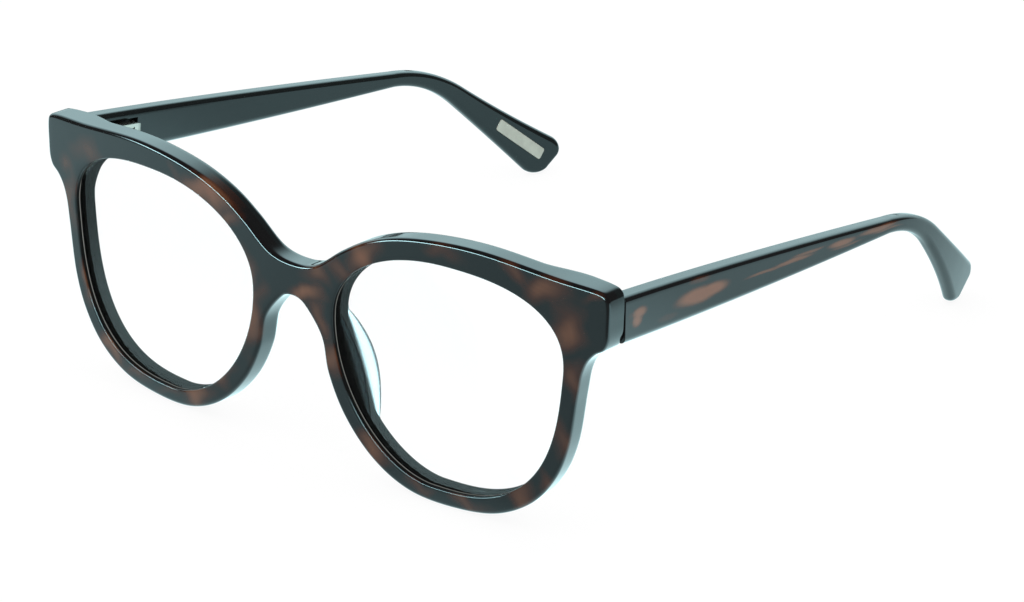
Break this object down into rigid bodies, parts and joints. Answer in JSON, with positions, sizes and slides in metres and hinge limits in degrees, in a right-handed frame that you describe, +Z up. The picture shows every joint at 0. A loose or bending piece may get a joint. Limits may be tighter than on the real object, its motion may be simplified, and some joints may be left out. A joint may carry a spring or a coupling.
{
  "type": "reading glasses",
  "caption": "Reading glasses with an acetate front, clear lenses, a keyhole-free saddle bridge, glued nose pads and folding temples on sprung flex hinges.",
  "frame": {"origin": "under the middle of the bounding box, on the floor that the rims and temple tips stand on", "axes": "+X to the wearer's left, +Y from the front back along the temples, +Z up"},
  "size_m": [0.139, 0.138, 0.0503],
  "materials": {
    "front_acetate": "polished tortoiseshell laminate, black at the back",
    "temple_acetate": "polished tortoiseshell laminate, black inside",
    "lens": "clear polished lens plastic",
    "pad": "clear acetate",
    "hinge_metal": "nickel silver, satin",
    "housing_metal": "nickel silver, bright",
    "screw_metal": "bright",
    "spring_metal": "spring wire",
    "plate": "satin silver"
  },
  "bodies": {
    "front": {"front": "front_acetate", "lens_left": "lens", "nose_pad_left": "pad", "front_hinge_left": "hinge_metal", "hinge_screw_left": "screw_metal", "lens_right": "lens", "nose_pad_right": "pad", "front_hinge_right": "hinge_metal", "hinge_screw_right": "screw_metal"},
    "slider_left": {"flex_slider_left": "hinge_metal"},
    "temple_left": {"temple_left": "temple_acetate", "core_wire_left": "hinge_metal", "flex_housing_left": "housing_metal", "flex_stop_left": "hinge_metal", "flex_spring_left": "spring_metal"},
    "slider_right": {"flex_slider_right": "hinge_metal"},
    "temple_right": {"temple_right": "temple_acetate", "core_wire_right": "hinge_metal", "flex_housing_right": "housing_metal", "flex_stop_right": "hinge_metal", "flex_spring_right": "spring_metal", "tip_plate": "plate"}
  },
  "joints": [
    {"name": "fold_left", "type": "hinge", "parent": "front", "child": "slider_left", "pos_m": [0.0651, -0.05647, 0.04219], "axis": [-0.0054, 0.143, 0.9897], "range_deg": [0, 84]},
    {"name": "flex_left", "type": "slide", "parent": "slider_left", "child": "temple_left", "axis": [-0.0538, 0.9882, -0.1431], "range_m": [0, 0.0013], "stiffness_N_per_m": 800, "springref_m": -0.0004, "deforming": ["flex_spring_left"]},
    {"name": "fold_right", "type": "hinge", "parent": "front", "child": "slider_right", "pos_m": [-0.0651, -0.05647, 0.04219], "axis": [-0.0054, -0.143, -0.9897], "range_deg": [0, 71]},
    {"name": "flex_right", "type": "slide", "parent": "slider_right", "child": "temple_right", "axis": [0.0538, 0.9882, -0.1431], "range_m": [0, 0.0013], "stiffness_N_per_m": 800, "springref_m": -0.0004, "deforming": ["flex_spring_right"]}
  ]
}
